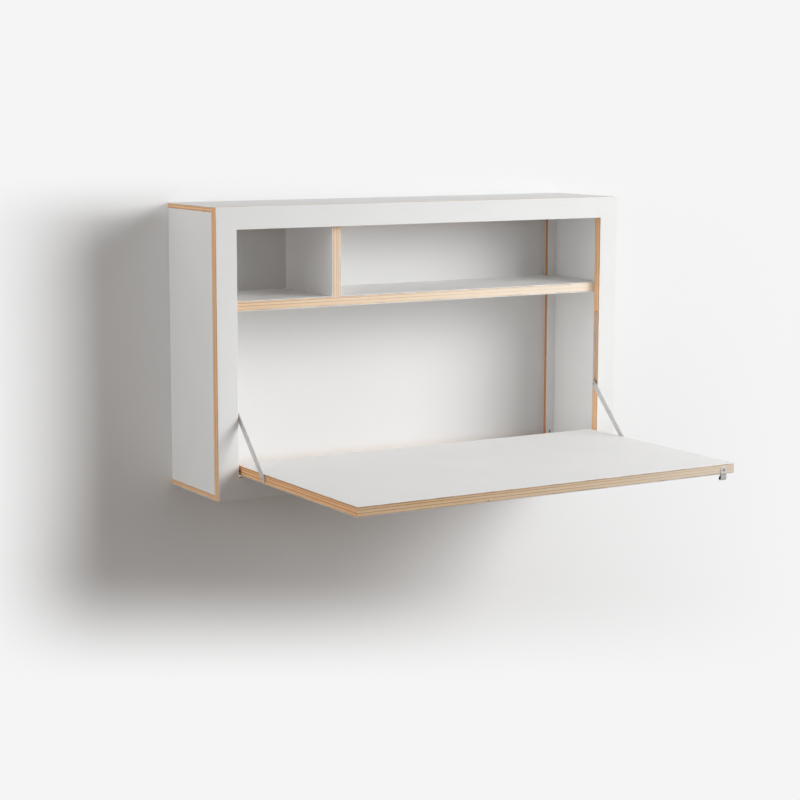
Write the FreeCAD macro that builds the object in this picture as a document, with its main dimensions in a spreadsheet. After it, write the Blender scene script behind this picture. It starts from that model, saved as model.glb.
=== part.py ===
import FreeCAD
import Part
import Sketcher
import math
import os
import re

# Fold down wall desk: a laminated plywood case with a front frame, an open back frame,
# a shelf, a divider and a desk leaf that turns on two pins and hangs on two sliding stays.
# Lengths are in millimetres. Positions are written from the front left bottom corner
# of the case: x to the right, y into the wall, z up. The helpers move them to the part's
# own frame, which has its origin on the wall plane at the middle of the wall screws.

doc = FreeCAD.newDocument("wall_desk")
sheet = doc.addObject("Spreadsheet::Sheet", "sizes")

sizeRows = [
    ("case_width", 1000.0, "outside width of the case and the front frame"),
    ("case_height", 600.0, "outside height"),
    ("case_depth", 230.0, "wall to front face"),
    ("front_board", 21.0, "thickness of front frame, leaf, shelf and divider"),
    ("case_board", 12.0, "thickness of sides, top, bottom and back frame"),
    ("rail_width", 46.0, "width of the front frame around its opening"),
    ("leaf_side_gap", 5.0, "gap beside the closed leaf, where the stays run"),
    ("leaf_end_gap", 4.0, "gap above and below the closed leaf"),
    ("leaf_stop_gap", 0.4, "shelf and divider stand this far behind the closed leaf"),
    ("edge_break", 0.6, "small chamfer on the edges that are touched"),
    ("shelf_bottom", 386.0, "height of the shelf's lower face"),
    ("divider_left", 277.0, "left face of the divider"),
    ("housing_depth", 3.0, "depth of the grooves that hold shelf and divider"),
    ("back_stile", 23.0, "visible width of the back frame's stiles"),
    ("back_top_rail", 46.0, "height of the back frame's top rail"),
    ("back_low_rail", 16.0, "height of the back frame's bottom rail"),
    ("wall_hole_side", 23.5, "wall screw hole from the outside of the case"),
    ("wall_hole_end", 35.0, "wall screw hole from top and bottom of the case"),
    ("wall_hole_radius", 3.0, "wall screw hole"),
    ("hinge_inset", 9.0, "pivot pin behind the front face of the closed leaf"),
    ("hinge_from_end", 9.0, "pivot pin above the lower end of the closed leaf"),
    ("pin_radius", 2.5, "pivot pin"),
    ("pin_depth", 24.0, "pivot pin in the leaf"),
    ("bush_radius", 4.0, "outside of the pivot bush"),
    ("bush_length", 22.0, "pivot bush in the stile"),
    ("flange_radius", 6.0, "flange of the pivot bush"),
    ("flange_thick", 1.4, "flange of the pivot bush"),
    ("run_clear", 0.04, "radial clearance of a turning pin in its hole"),
    ("glue_clear", 0.05, "clearance of a tongue, bush or screw in its groove or hole"),
    ("end_clear", 0.3, "space left at the bottom of a blind hole"),
    ("over_cut", 1.0, "cutters run this far past a face, fused pieces this far into each other"),
    ("stay_arm", 114.0, "stay screw from the pivot pin, along the leaf"),
    ("stay_width", 12.0, "flat steel stay"),
    ("stay_thick", 2.4, "flat steel stay"),
    ("screw_radius", 2.0, "shank of the stay and pull screws"),
    ("screw_bite", 20.0, "screw length in the wood"),
    ("head_radius", 3.8, "low head of the stay screws"),
    ("head_thick", 0.85, "low head of the stay screws"),
    ("socket_radius", 1.5, "driver recess of the screws"),
    ("socket_depth", 0.6, "driver recess of the screws"),
    ("washer_radius", 5.0, "washer between stay and leaf"),
    ("face_clear", 0.05, "play between faces that turn on each other"),
    ("glide_radius", 6.3, "round glide that carries the stay in the stile"),
    ("slot_radius", 6.5, "half the width of the glide's slot"),
    ("slot_depth", 7.0, "depth of the glide's slot in the stile"),
    ("tongue_thick", 3.0, "loose tongues in the joints of the case"),
    ("tongue_bite", 6.0, "depth of a tongue in each of its two boards"),
    ("tongue_inset", 40.0, "ends of a tongue from the ends of its joint"),
    ("pull_width", 14.0, "finger pull"),
    ("pull_thick", 1.5, "strip of the finger pull"),
    ("pull_plate", 15.5, "finger pull's plate on the leaf's edge"),
    ("pull_reach", 13.0, "finger pull below the open leaf"),
    ("pull_roll", 4.0, "outside radius of the rolled end"),
    ("pull_from_right", 28.0, "finger pull from the right end of the leaf"),
    ("pull_screw_in", 8.5, "pull screw from the leaf's outer face"),
    ("pull_head_radius", 3.2, "countersunk head of the pull screw"),
]
sizeOf = {}
for row, (name, value, words) in enumerate(sizeRows, 1):
    sheet.set(f"A{row}", name)
    sheet.set(f"B{row}", str(value))
    sheet.setAlias(f"B{row}", name)
    sheet.set(f"C{row}", words)
    sizeOf[name] = value
doc.recompute()

# Lengths that follow from the sheet
leafLow = "(rail_width + leaf_end_gap)"
leafHigh = "(case_height - rail_width - leaf_end_gap)"
leafLeft = "(rail_width + leaf_side_gap)"
leafWidth = "(case_width - 2 * rail_width - 2 * leaf_side_gap)"
hingeZ = "(rail_width + leaf_end_gap + hinge_from_end)"
stayReach = "(front_board / 2 - hinge_inset + stay_arm)"
stayLength = f"({stayReach} * sqrt(2))"
stayLowY = "(hinge_inset - stay_arm)"
stayLowZ = f"({hingeZ} - hinge_inset + front_board / 2)"
glideOpenZ = f"({stayLowZ} + {stayReach})"
glideShutZ = f"({hingeZ} + stay_arm + {stayLength})"
stayX = "(rail_width + (leaf_side_gap - stay_thick) / 2)"
shelfTop = "(shelf_bottom + front_board)"
insideFront = "(front_board + leaf_stop_gap)"
backFace = "(case_depth - case_board)"


def bind(text):
    return re.sub(r"[a-z]+(?:_[a-z]+)+", lambda found: "sizes." + found.group(0), text)


def put(thing, x, y, z):
    thing.setExpression("Placement.Base.x", bind(f"({x}) - case_width / 2"))
    thing.setExpression("Placement.Base.y", bind(f"({y}) - case_depth"))
    thing.setExpression("Placement.Base.z", bind(f"({z}) - case_height / 2"))


def box(name, x, y, z, dx, dy, dz):
    thing = doc.addObject("Part::Box", name)
    thing.setExpression("Length", bind(dx))
    thing.setExpression("Width", bind(dy))
    thing.setExpression("Height", bind(dz))
    put(thing, x, y, z)
    return thing


turnTo = {
    "+x": FreeCAD.Rotation(FreeCAD.Vector(0, 1, 0), 90),
    "+y": FreeCAD.Rotation(FreeCAD.Vector(1, 0, 0), -90),
    "+z": FreeCAD.Rotation(FreeCAD.Vector(0, 0, 1), 0),
}


def rod(name, x, y, z, way, length, radius):
    thing = doc.addObject("Part::Cylinder", name)
    thing.Placement = FreeCAD.Placement(FreeCAD.Vector(0, 0, 0), turnTo[way])
    thing.setExpression("Height", bind(length))
    thing.setExpression("Radius", bind(radius))
    put(thing, x, y, z)
    return thing


def cone(name, x, y, z, way, length, radiusLow, radiusHigh):
    thing = doc.addObject("Part::Cone", name)
    thing.Placement = FreeCAD.Placement(FreeCAD.Vector(0, 0, 0), turnTo[way])
    thing.setExpression("Height", bind(length))
    thing.setExpression("Radius1", bind(radiusLow))
    thing.setExpression("Radius2", bind(radiusHigh))
    put(thing, x, y, z)
    return thing


def group(name, things):
    whole = doc.addObject("Part::Compound", name)
    whole.Links = things
    return whole


def join(name, things):
    whole = doc.addObject("Part::MultiFuse", name)
    whole.Shapes = things
    whole.Refine = True
    return whole


def cut(name, base, tools):
    result = doc.addObject("Part::Cut", name)
    result.Base = base
    result.Tool = tools[0] if len(tools) == 1 else group(name + "_tools", tools)
    return result


def mirrored(name, source):
    result = doc.addObject("Part::Mirroring", name)
    result.Source = source
    result.Base = FreeCAD.Vector(0, 0, 0)
    result.Normal = FreeCAD.Vector(1, 0, 0)
    return result


def chamfered(name, base, wanted):
    doc.recompute()
    result = doc.addObject("Part::Chamfer", name)
    result.Base = base
    size = sizeOf["edge_break"]
    picked = [number for number, edge in enumerate(base.Shape.Edges, 1) if wanted(edge)]
    result.Edges = [(number, size, size) for number in picked]
    return result


def plane(body, role):
    return [part for part in body.Origin.OriginFeatures if part.Role == role][0]


def sketch(body, name, role, offset):
    drawn = body.newObject("Sketcher::SketchObject", name)
    drawn.AttachmentSupport = [(plane(body, role), "")]
    drawn.MapMode = "FlatFace"
    drawn.setExpression("AttachmentOffset.Base.z", bind(offset))
    return drawn


def fix(drawn, kind, geometry, point, length, start=1.0):
    number = drawn.addConstraint(Sketcher.Constraint(kind, -1, 1, geometry, point, start))
    drawn.setExpression(f"Constraints[{number}]", bind(length))


def rectangle(drawn, left, low, right, high):
    first = drawn.GeometryCount
    corners = [(1, 1), (2, 1), (2, 2), (1, 2)]
    for start, end in zip(corners, corners[1:] + corners[:1]):
        line = Part.LineSegment(FreeCAD.Vector(*start, 0), FreeCAD.Vector(*end, 0))
        drawn.addGeometry(line, False)
    for step in range(4):
        following = first + (step + 1) % 4
        drawn.addConstraint(Sketcher.Constraint("Coincident", first + step, 2, following, 1))
    for step, kind in enumerate(["Horizontal", "Vertical", "Horizontal", "Vertical"]):
        drawn.addConstraint(Sketcher.Constraint(kind, first + step))
    fix(drawn, "DistanceX", first, 1, left)
    fix(drawn, "DistanceY", first, 1, low)
    fix(drawn, "DistanceX", first + 2, 1, right)
    fix(drawn, "DistanceY", first + 2, 1, high)


def circle(drawn, across, up, radius):
    number = drawn.GeometryCount
    centre = FreeCAD.Vector(1, 1, 0)
    drawn.addGeometry(Part.Circle(centre, FreeCAD.Vector(0, 0, 1), 1), False)
    size = drawn.addConstraint(Sketcher.Constraint("Radius", number, 1.0))
    drawn.setExpression(f"Constraints[{size}]", bind(radius))
    fix(drawn, "DistanceX", number, 3, across)
    fix(drawn, "DistanceY", number, 3, up)


def feature(body, kind, name, profile, length, reverse):
    made = body.newObject("PartDesign::" + kind, name)
    made.Profile = profile
    made.setExpression("Length", bind(length))
    made.Reversed = reverse
    return made


# Loose tongues and their grooves, one along each joint of the case.
# A row gives the middle of the joint; None stands for the way that the tongue runs.
nearMiddle = "case_board / 2"
farMiddleX = "case_width - case_board / 2"
farMiddleZ = "case_height - case_board / 2"
backMiddle = "case_depth - case_board / 2"
farJointX = "case_width - case_board"
farJointZ = "case_height - case_board"
caseJoints = [
    (nearMiddle, None, "case_board", "z"),
    (farMiddleX, None, "case_board", "z"),
    (nearMiddle, None, farJointZ, "z"),
    (farMiddleX, None, farJointZ, "z"),
]
frontJoints = [
    (nearMiddle, "front_board", None, "y"),
    (farMiddleX, "front_board", None, "y"),
    (None, "front_board", nearMiddle, "y"),
    (None, "front_board", farMiddleZ, "y"),
]
backJoints = [
    ("case_board", backMiddle, None, "x"),
    (farJointX, backMiddle, None, "x"),
    (None, backMiddle, "case_board", "z"),
    (None, backMiddle, farJointZ, "z"),
]
runOf = {
    "x": ("tongue_inset", "case_width - 2 * tongue_inset"),
    "y": ("front_board + tongue_inset", "case_depth - front_board - 2 * tongue_inset"),
    "z": ("tongue_inset", "case_height - 2 * tongue_inset"),
}


def tongues(name, joints):
    solids = []
    grooves = []
    for number, joint in enumerate(joints):
        start = []
        size = []
        for way, middle in zip("xyz", joint[:3]):
            half = "tongue_bite" if way == joint[3] else "tongue_thick / 2"
            start.append(runOf[way][0] if middle is None else f"{middle} - {half}")
            size.append(runOf[way][1] if middle is None else f"2 * {half}")
        wideStart = [f"{place} - glue_clear" for place in start]
        wideSize = [f"{length} + 2 * glue_clear" for length in size]
        solids.append(box(f"{name}_{number}", *start, *size))
        grooves.append(box(f"{name}_groove_{number}", *wideStart, *wideSize))
    return group(name, solids), group(name + "_grooves", grooves)


caseTongues, caseGrooves = tongues("case_tongues", caseJoints)
frontTongues, frontGrooves = tongues("front_tongues", frontJoints)
backTongues, backGrooves = tongues("back_tongues", backJoints)
tongueGrooves = [caseGrooves, frontGrooves, backGrooves]

# Grooves for the shelf and the divider, shared by the boards that they meet
shelfGroove = box(
    "shelf_groove",
    "case_board - housing_depth", "front_board", "shelf_bottom",
    "case_width - 2 * case_board + 2 * housing_depth",
    "case_depth - case_board - front_board", "front_board",
)
dividerGroove = box(
    "divider_groove",
    "divider_left", "front_board", f"{shelfTop} - housing_depth",
    "front_board", "case_depth - case_board - front_board",
    f"case_height - case_board - {shelfTop} + 2 * housing_depth",
)

# Case boards: top and bottom run over the ends of the sides
innerDepth = "case_depth - front_board"
innerHeight = "case_height - 2 * case_board"
leftBoard = box("left_board", "0", "front_board", "case_board", "case_board", innerDepth, innerHeight)
leftSide = cut("left_side", leftBoard, tongueGrooves + [shelfGroove])
rightBoard = box(
    "right_board",
    "case_width - case_board", "front_board", "case_board",
    "case_board", innerDepth, innerHeight,
)
rightSide = cut("right_side", rightBoard, tongueGrooves + [shelfGroove])
topBoard = box(
    "top_board",
    "0", "front_board", "case_height - case_board",
    "case_width", innerDepth, "case_board",
)
topPanel = cut("top_panel", topBoard, tongueGrooves + [dividerGroove])
bottomBoard = box("bottom_board", "0", "front_board", "0", "case_width", innerDepth, "case_board")
bottomPanel = cut("bottom_panel", bottomBoard, tongueGrooves)

# Back frame: a board between the case boards with a large opening and four wall screw holes
backBoard = box(
    "back_board",
    "case_board", backFace, "case_board",
    "case_width - 2 * case_board", "case_board", innerHeight,
)
backOpening = box(
    "back_opening",
    "case_board + back_stile", f"{backFace} - over_cut", "case_board + back_low_rail",
    "case_width - 2 * case_board - 2 * back_stile", "case_board + 2 * over_cut",
    "case_height - 2 * case_board - back_low_rail - back_top_rail",
)
wallHoles = []
for number, (x, z) in enumerate([
    ("wall_hole_side", "wall_hole_end"),
    ("case_width - wall_hole_side", "wall_hole_end"),
    ("wall_hole_side", "case_height - wall_hole_end"),
    ("case_width - wall_hole_side", "case_height - wall_hole_end"),
]):
    wallHoles.append(rod(
        f"wall_hole_{number}", x, f"{backFace} - over_cut", z, "+y",
        "case_board + 2 * over_cut", "wall_hole_radius",
    ))
backFrame = cut("back_frame", backBoard, [backOpening, group("wall_holes", wallHoles)] + tongueGrooves)

# Shelf and divider reach the wall through the back frame's opening, so they are notched there
shelfFull = box(
    "shelf_full",
    "case_board - housing_depth", insideFront, "shelf_bottom",
    "case_width - 2 * case_board + 2 * housing_depth", f"{backFace} - {insideFront}", "front_board",
)
shelfTail = box(
    "shelf_tail",
    "case_board + back_stile", backFace, "shelf_bottom",
    "case_width - 2 * case_board - 2 * back_stile", "case_board", "front_board",
)
shelfBoard = join("shelf_board", [shelfFull, shelfTail])
shelf = cut("shelf", shelfBoard, [dividerGroove])
dividerFull = box(
    "divider_full",
    "divider_left", insideFront, f"{shelfTop} - housing_depth",
    "front_board", f"{backFace} - {insideFront}",
    f"case_height - case_board - {shelfTop} + 2 * housing_depth",
)
dividerTail = box(
    "divider_tail",
    "divider_left", backFace, shelfTop,
    "front_board", "case_board", f"case_height - case_board - back_top_rail - {shelfTop}",
)
divider = join("divider", [dividerFull, dividerTail])

# Front frame: a sketched board with its opening, slots for the glides and holes for the bushes
frameBody = doc.addObject("PartDesign::Body", "frame_body")
frameFace = sketch(frameBody, "frame_face", "XZ_Plane", "0")
rectangle(frameFace, "0 * case_width", "0 * case_width", "case_width", "case_height")
rectangle(frameFace, "rail_width", "rail_width", "case_width - rail_width", "case_height - rail_width")
framePad = feature(frameBody, "Pad", "frame_pad", frameFace, "front_board", True)
bushHole = "bush_radius + glue_clear"
leftBushFace = sketch(frameBody, "left_bush_face", "YZ_Plane", "rail_width")
circle(leftBushFace, "hinge_inset", hingeZ, bushHole)
leftBushHole = feature(
    frameBody, "Pocket", "left_bush_hole", leftBushFace, "bush_length + end_clear", False,
)
rightBushFace = sketch(frameBody, "right_bush_face", "YZ_Plane", "case_width - rail_width")
circle(rightBushFace, "hinge_inset", hingeZ, bushHole)
rightBushHole = feature(
    frameBody, "Pocket", "right_bush_hole", rightBushFace, "bush_length + end_clear", True,
)
put(frameBody, "0", "0", "0")

slotX = "rail_width - slot_depth"
slotReach = "slot_depth + over_cut"
slotMiddle = "front_board / 2"
slotBox = box(
    "slot_box",
    slotX, f"{slotMiddle} - slot_radius", glideOpenZ,
    slotReach, "2 * slot_radius", f"{glideShutZ} - {glideOpenZ}",
)
slotLow = rod("slot_low", slotX, slotMiddle, glideOpenZ, "+x", slotReach, "slot_radius")
slotHigh = rod("slot_high", slotX, slotMiddle, glideShutZ, "+x", slotReach, "slot_radius")
leftSlot = join("left_slot", [slotBox, slotLow, slotHigh])
rightSlot = mirrored("right_slot", leftSlot)
frameCut = cut("frame_cut", frameBody, [leftSlot, rightSlot, frontGrooves])


def longEdge(edge):
    return edge.Length > 2 * sizeOf["rail_width"]


def frontEdge(edge):
    ends = [vertex.Point.y for vertex in edge.Vertexes]
    onFace = all(abs(y + sizeOf["case_depth"]) < sizeOf["glue_clear"] for y in ends)
    return onFace and longEdge(edge)


frontFrame = chamfered("front_frame", frameCut, frontEdge)

# Pivot: a flanged bush in each stile, a steel pin in each end of the leaf
bushX = "rail_width - bush_length"
bushBody = rod("bush_body", bushX, "hinge_inset", hingeZ, "+x", "bush_length", "bush_radius")
bushFlange = rod("bush_flange", "rail_width", "hinge_inset", hingeZ, "+x", "flange_thick", "flange_radius")
bushSolid = join("bush_solid", [bushBody, bushFlange])
bushBore = rod(
    "bush_bore", f"{bushX} - over_cut", "hinge_inset", hingeZ, "+x",
    "bush_length + flange_thick + 2 * over_cut", "pin_radius + run_clear",
)
leftBush = cut("left_bush", bushSolid, [bushBore])
pivotBushes = group("pivot_bushes", [leftBush, mirrored("right_bush", leftBush)])
leftPin = rod(
    "left_pin", bushX, "hinge_inset", hingeZ, "+x",
    "bush_length + leaf_side_gap + pin_depth", "pin_radius",
)
pivotPins = group("pivot_pins", [leftPin, mirrored("right_pin", leftPin)])

# Leaf: drawn shut in the opening, then laid open about the pivot pins
leafOpenY = f"hinge_inset + {hingeZ}"
leafOpenZ = f"{hingeZ} - hinge_inset"


def layOpen(body):
    body.Placement = FreeCAD.Placement(
        FreeCAD.Vector(0, 0, 0),
        FreeCAD.Rotation(FreeCAD.Vector(1, 0, 0), 90),
    )
    put(body, "0", leafOpenY, leafOpenZ)


leafBody = doc.addObject("PartDesign::Body", "leaf_body")
leafFace = sketch(leafBody, "leaf_face", "XZ_Plane", "0")
rectangle(leafFace, leafLeft, leafLow, f"{leafLeft} + {leafWidth}", leafHigh)
leafPad = feature(leafBody, "Pad", "leaf_pad", leafFace, "front_board", True)
leafEnds = [("left", leafLeft, True), ("right", f"{leafLeft} + {leafWidth}", False)]
for word, place, reverse in leafEnds:
    pinFace = sketch(leafBody, word + "_pin_face", "YZ_Plane", place)
    circle(pinFace, "hinge_inset", hingeZ, "pin_radius + glue_clear")
    feature(leafBody, "Pocket", word + "_pin_hole", pinFace, "pin_depth + end_clear", reverse)
    screwFace = sketch(leafBody, word + "_screw_face", "YZ_Plane", place)
    circle(screwFace, "front_board / 2", f"{hingeZ} + stay_arm", "screw_radius + glue_clear")
    feature(leafBody, "Pocket", word + "_screw_hole", screwFace, "screw_bite + end_clear", reverse)
pullX = f"({leafLeft} + {leafWidth} - pull_from_right)"
pullFace = sketch(leafBody, "pull_face", "XY_Plane", leafHigh)
circle(pullFace, pullX, "pull_screw_in", "screw_radius + glue_clear")
feature(leafBody, "Pocket", "pull_hole", pullFace, "screw_bite + end_clear", False)
layOpen(leafBody)
leaf = chamfered("leaf", leafBody, longEdge)

# Stays: flat bars at 45 degrees, screwed to the leaf, with a glide in the stile's slot
stayBody = doc.addObject("PartDesign::Body", "stay_body")
stayFace = sketch(stayBody, "stay_face", "YZ_Plane", "0")
half = sizeOf["stay_width"] / 2
arm = sizeOf["front_board"] / 2 - sizeOf["hinge_inset"] + sizeOf["stay_arm"]
span = arm * math.sqrt(2)
quarter = math.pi / 2
lower = Part.ArcOfCircle(
    Part.Circle(FreeCAD.Vector(0, 0, 0), FreeCAD.Vector(0, 0, 1), half), quarter, 3 * quarter,
)
upper = Part.ArcOfCircle(
    Part.Circle(FreeCAD.Vector(span, 0, 0), FreeCAD.Vector(0, 0, 1), half), -quarter, quarter,
)
stayFace.addGeometry(lower, False)
stayFace.addGeometry(Part.LineSegment(FreeCAD.Vector(0, -half, 0), FreeCAD.Vector(span, -half, 0)), False)
stayFace.addGeometry(upper, False)
stayFace.addGeometry(Part.LineSegment(FreeCAD.Vector(span, half, 0), FreeCAD.Vector(0, half, 0)), False)
stayFace.addConstraint(Sketcher.Constraint("Tangent", 0, 2, 1, 1))
stayFace.addConstraint(Sketcher.Constraint("Tangent", 1, 2, 2, 1))
stayFace.addConstraint(Sketcher.Constraint("Tangent", 2, 2, 3, 1))
stayFace.addConstraint(Sketcher.Constraint("Tangent", 3, 2, 0, 1))
stayFace.addConstraint(Sketcher.Constraint("Coincident", 0, 3, -1, 1))
stayFace.addConstraint(Sketcher.Constraint("PointOnObject", 2, 3, -1))
stayRadius = stayFace.addConstraint(Sketcher.Constraint("Radius", 0, half))
stayFace.setExpression(f"Constraints[{stayRadius}]", bind("stay_width / 2"))
fix(stayFace, "DistanceX", 2, 3, stayLength, span)
onAxis = "0 * stay_width"
circle(stayFace, onAxis, onAxis, "screw_radius + run_clear")
circle(stayFace, stayLength, onAxis, "screw_radius + glue_clear")
feature(stayBody, "Pad", "stay_pad", stayFace, "stay_thick", False)
stayBody.Placement = FreeCAD.Placement(
    FreeCAD.Vector(0, 0, 0),
    FreeCAD.Rotation(FreeCAD.Vector(1, 0, 0), 45),
)
put(stayBody, stayX, stayLowY, stayLowZ)
rightStay = mirrored("right_stay", stayBody)

# Stay screws with washers in the leaf's ends
washerDisc = rod(
    "washer_disc", f"{stayX} + stay_thick + face_clear", stayLowY, stayLowZ, "+x",
    f"{leafLeft} - {stayX} - stay_thick - face_clear", "washer_radius",
)
washerBore = rod(
    "washer_bore", stayX, stayLowY, stayLowZ, "+x",
    "leaf_side_gap + over_cut", "screw_radius + glue_clear",
)
washer = cut("washer", washerDisc, [washerBore])
stayWashers = group("stay_washers", [washer, mirrored("right_washer", washer)])
headX = f"({stayX} - face_clear - head_thick)"
screwSolid = join("screw_solid", [
    rod("screw_head", headX, stayLowY, stayLowZ, "+x", "head_thick", "head_radius"),
    rod("screw_shank", f"{headX} + head_thick / 2", stayLowY, stayLowZ, "+x",
        f"{leafLeft} - {headX} - head_thick / 2 + screw_bite", "screw_radius"),
])
screwSocket = rod(
    "screw_socket", f"{headX} - over_cut", stayLowY, stayLowZ, "+x",
    "socket_depth + over_cut", "socket_radius",
)
leftScrew = cut("left_screw", screwSolid, [screwSocket])
stayScrews = group("stay_screws", [leftScrew, mirrored("right_screw", leftScrew)])

# Upper ends: a stud on the stay and a round glide that runs in the stile's slot
studX = f"({stayX} + stay_thick)"
studSolid = join("stud_solid", [
    rod("stud_shank", stayX, slotMiddle, glideOpenZ, "+x",
        "stay_thick + head_thick / 2", "screw_radius"),
    rod("stud_head", studX, slotMiddle, glideOpenZ, "+x", "head_thick", "head_radius"),
])
studSocket = rod(
    "stud_socket", f"{studX} + head_thick - socket_depth", slotMiddle, glideOpenZ, "+x",
    "socket_depth + over_cut", "socket_radius",
)
leftStud = cut("left_stay_stud", studSolid, [studSocket])
rightStud = mirrored("right_stay_stud", leftStud)
leftGlide = join("left_glide", [
    rod("glide_disc", f"{slotX} + end_clear", slotMiddle, glideOpenZ, "+x",
        "slot_depth - end_clear", "glide_radius"),
    rod("glide_pin", "rail_width - over_cut", slotMiddle, glideOpenZ, "+x",
        f"{stayX} - face_clear - rail_width + over_cut", "screw_radius"),
])
rightGlide = mirrored("right_glide", leftGlide)

# Finger pull: a bent strip on the leaf's front edge with its end rolled back on itself
pullBody = doc.addObject("PartDesign::Body", "pull_body")
pullProfile = sketch(pullBody, "pull_profile", "YZ_Plane", f"{pullX} - pull_width / 2")
edgeZ = sizeOf["case_height"] - sizeOf["rail_width"] - sizeOf["leaf_end_gap"]
faceZ = edgeZ + sizeOf["pull_thick"]
outRoll = sizeOf["pull_roll"]
inRoll = outRoll - sizeOf["pull_thick"]
rollY = outRoll - sizeOf["pull_reach"]
rollZ = faceZ - outRoll
outLipY = -sizeOf["end_clear"]
inLipY = outLipY - sizeOf["pull_thick"]
lipZ = edgeZ - sizeOf["pull_thick"]
# The leg leaves the roll along the tangent that reaches the lip
lipFar = math.hypot(outLipY - rollY, lipZ - rollZ)
legAngle = math.atan2(lipZ - rollZ, outLipY - rollY) - math.acos(outRoll / lipFar)
legSlope = -1 / math.tan(legAngle)
legEnd = (math.cos(legAngle), math.sin(legAngle))
outLegStart = (rollY + outRoll * legEnd[0], rollZ + outRoll * legEnd[1])
inLegStart = (rollY + inRoll * legEnd[0], rollZ + inRoll * legEnd[1])
inLipZ = inLegStart[1] + legSlope * (inLipY - inLegStart[0])


def pullLine(start, end):
    line = Part.LineSegment(FreeCAD.Vector(*start, 0), FreeCAD.Vector(*end, 0))
    return pullProfile.addGeometry(line, False)


def pullArc(radius):
    ring = Part.Circle(FreeCAD.Vector(rollY, rollZ, 0), FreeCAD.Vector(0, 0, 1), radius)
    arc = Part.ArcOfCircle(ring, quarter, legAngle + 2 * math.pi)
    return pullProfile.addGeometry(arc, False)


def meet(kind, first, firstEnd, second, secondEnd):
    pullProfile.addConstraint(Sketcher.Constraint(kind, first, firstEnd, second, secondEnd))


plateY = sizeOf["pull_plate"]
outTop = pullLine((plateY, faceZ), (rollY, faceZ))
outArc = pullArc(outRoll)
outLeg = pullLine(outLegStart, (outLipY, lipZ))
outLip = pullLine((outLipY, lipZ), (outLipY, edgeZ))
outSeat = pullLine((outLipY, edgeZ), (plateY, edgeZ))
outEnd = pullLine((plateY, edgeZ), (plateY, faceZ))
meet("Tangent", outTop, 2, outArc, 1)
meet("Tangent", outArc, 2, outLeg, 1)
meet("Coincident", outLeg, 2, outLip, 1)
meet("Coincident", outLip, 2, outSeat, 1)
meet("Coincident", outSeat, 2, outEnd, 1)
meet("Coincident", outEnd, 2, outTop, 1)
inTop = pullLine((inLipY, edgeZ), (rollY, edgeZ))
inArc = pullArc(inRoll)
inLeg = pullLine(inLegStart, (inLipY, inLipZ))
inLip = pullLine((inLipY, inLipZ), (inLipY, edgeZ))
meet("Tangent", inTop, 2, inArc, 1)
meet("Tangent", inArc, 2, inLeg, 1)
meet("Coincident", inLeg, 2, inLip, 1)
meet("Coincident", inLip, 2, inTop, 1)
meet("Coincident", inArc, 3, outArc, 3)
for line in (outTop, outSeat, inTop):
    pullProfile.addConstraint(Sketcher.Constraint("Horizontal", line))
for line in (outLip, outEnd, inLip):
    pullProfile.addConstraint(Sketcher.Constraint("Vertical", line))
pullProfile.addConstraint(Sketcher.Constraint("Parallel", inLeg, outLeg))
outRadius = pullProfile.addConstraint(Sketcher.Constraint("Radius", outArc, outRoll))
pullProfile.setExpression(f"Constraints[{outRadius}]", bind("pull_roll"))
inRadius = pullProfile.addConstraint(Sketcher.Constraint("Radius", inArc, inRoll))
pullProfile.setExpression(f"Constraints[{inRadius}]", bind("pull_roll - pull_thick"))
fix(pullProfile, "DistanceX", outArc, 3, "pull_roll - pull_reach", rollY)
fix(pullProfile, "DistanceY", outTop, 1, f"{leafHigh} + pull_thick", faceZ)
fix(pullProfile, "DistanceX", outTop, 1, "pull_plate", plateY)
fix(pullProfile, "DistanceY", outSeat, 1, leafHigh, edgeZ)
fix(pullProfile, "DistanceX", outSeat, 1, "0 - end_clear", outLipY)
fix(pullProfile, "DistanceY", outLeg, 2, f"{leafHigh} - pull_thick", lipZ)
fix(pullProfile, "DistanceX", inLip, 1, "0 - end_clear - pull_thick", inLipY)
pullPad = feature(pullBody, "Pad", "pull_pad", pullProfile, "pull_width", False)
doc.recompute()
cornerEdges = []
for number, edge in enumerate(pullPad.Shape.Edges, 1):
    ends = [vertex.Point for vertex in edge.Vertexes]
    atTop = len(ends) == 2 and all(abs(point.y - plateY) < sizeOf["glue_clear"] for point in ends)
    if atTop and abs(ends[0].z - ends[1].z) > sizeOf["pull_thick"] / 2:
        cornerEdges.append(f"Edge{number}")
pullRound = pullBody.newObject("PartDesign::Fillet", "pull_round")
pullRound.Base = (pullPad, cornerEdges)
pullRound.setExpression("Radius", bind("pull_width / 2 - end_clear"))
layOpen(pullBody)
pullOpenY = f"{leafOpenY} - {leafHigh}"
pullOpenZ = f"{leafOpenZ} + pull_screw_in"
pullSink = join("pull_sink", [
    rod("pull_drill", pullX, f"{pullOpenY} - pull_thick - over_cut", pullOpenZ, "+y",
        "pull_thick + 2 * over_cut", "screw_radius + glue_clear"),
    cone("pull_cone", pullX, f"{pullOpenY} - pull_thick", pullOpenZ, "+y",
         "pull_head_radius - screw_radius", "pull_head_radius + glue_clear", "screw_radius + glue_clear"),
])
fingerPull = cut("finger_pull", pullBody, [pullSink])
pullScrewSolid = join("pull_screw_solid", [
    cone("pull_screw_head", pullX, f"{pullOpenY} - pull_thick", pullOpenZ, "+y",
         "pull_head_radius - screw_radius", "pull_head_radius", "screw_radius"),
    rod("pull_screw_shank", pullX, f"{pullOpenY} - pull_thick / 2", pullOpenZ, "+y",
        "pull_thick / 2 + screw_bite", "screw_radius"),
])
pullSocket = rod(
    "pull_socket", pullX, f"{pullOpenY} - pull_thick - over_cut", pullOpenZ, "+y",
    "socket_depth + over_cut", "socket_radius",
)
pullScrew = cut("pull_screw", pullScrewSolid, [pullSocket])

doc.recompute()

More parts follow.
